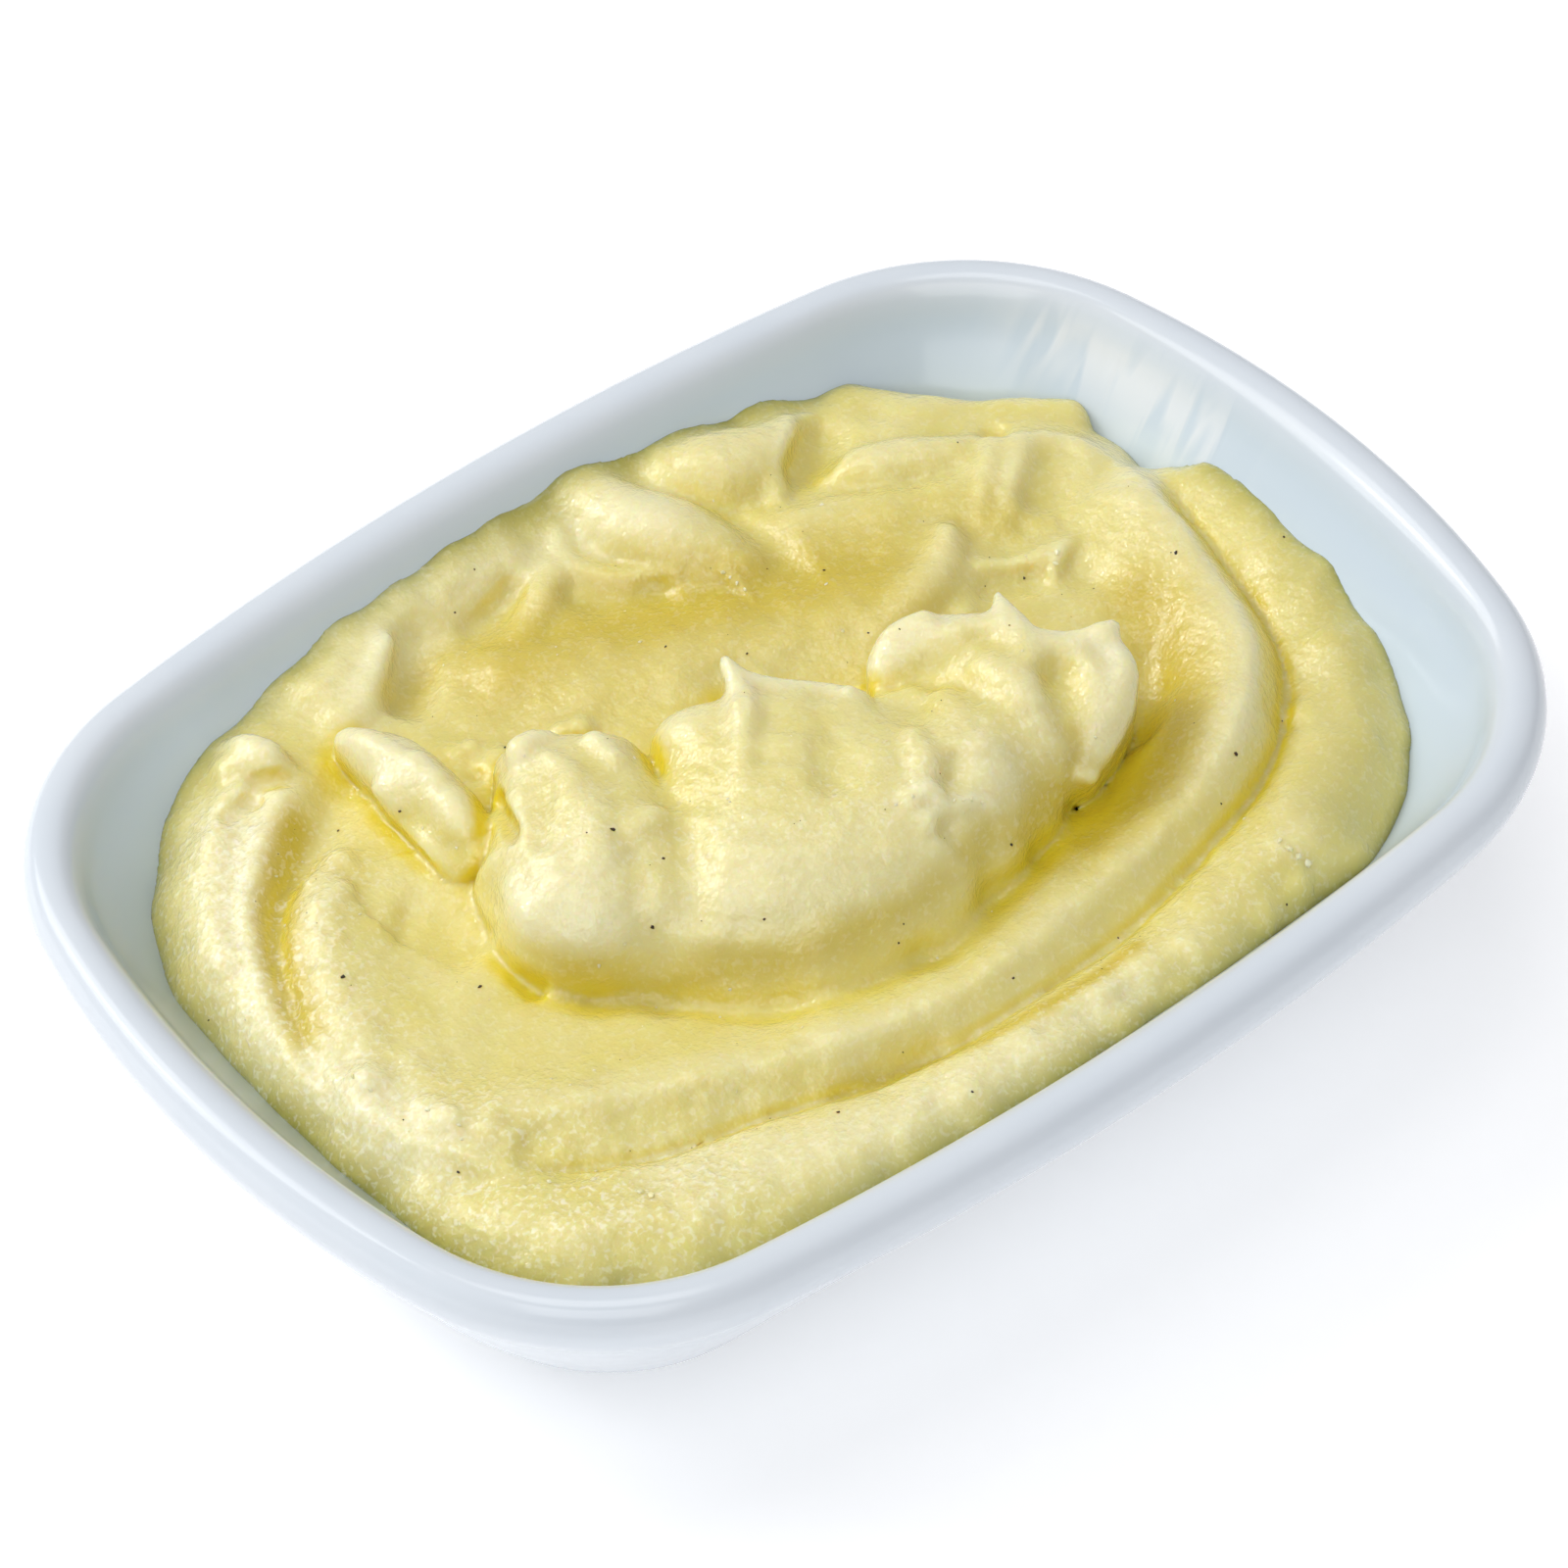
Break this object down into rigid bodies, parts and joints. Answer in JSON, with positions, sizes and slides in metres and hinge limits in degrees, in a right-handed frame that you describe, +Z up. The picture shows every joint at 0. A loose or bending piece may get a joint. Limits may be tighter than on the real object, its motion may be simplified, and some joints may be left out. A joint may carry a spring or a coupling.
{
  "type": "mashed potato side dish",
  "caption": "Golden mashed potato, swirled and heaped in the middle, in an oblong white porcelain serving dish with sloping walls and a rounded rim.",
  "frame": {"origin": "on the table plane under the middle of the dish", "axes": "+Z up, X along the dish's long side, Y along its short side"},
  "size_m": [0.165, 0.1198, 0.0409],
  "materials": {
    "porcelain": "white glaze, glossy",
    "mash": "moist cooked potato, golden yellow, softly glossy"
  },
  "bodies": {
    "root": {"dish": "porcelain", "mashed_potato": "mash"}
  },
  "joints": []
}
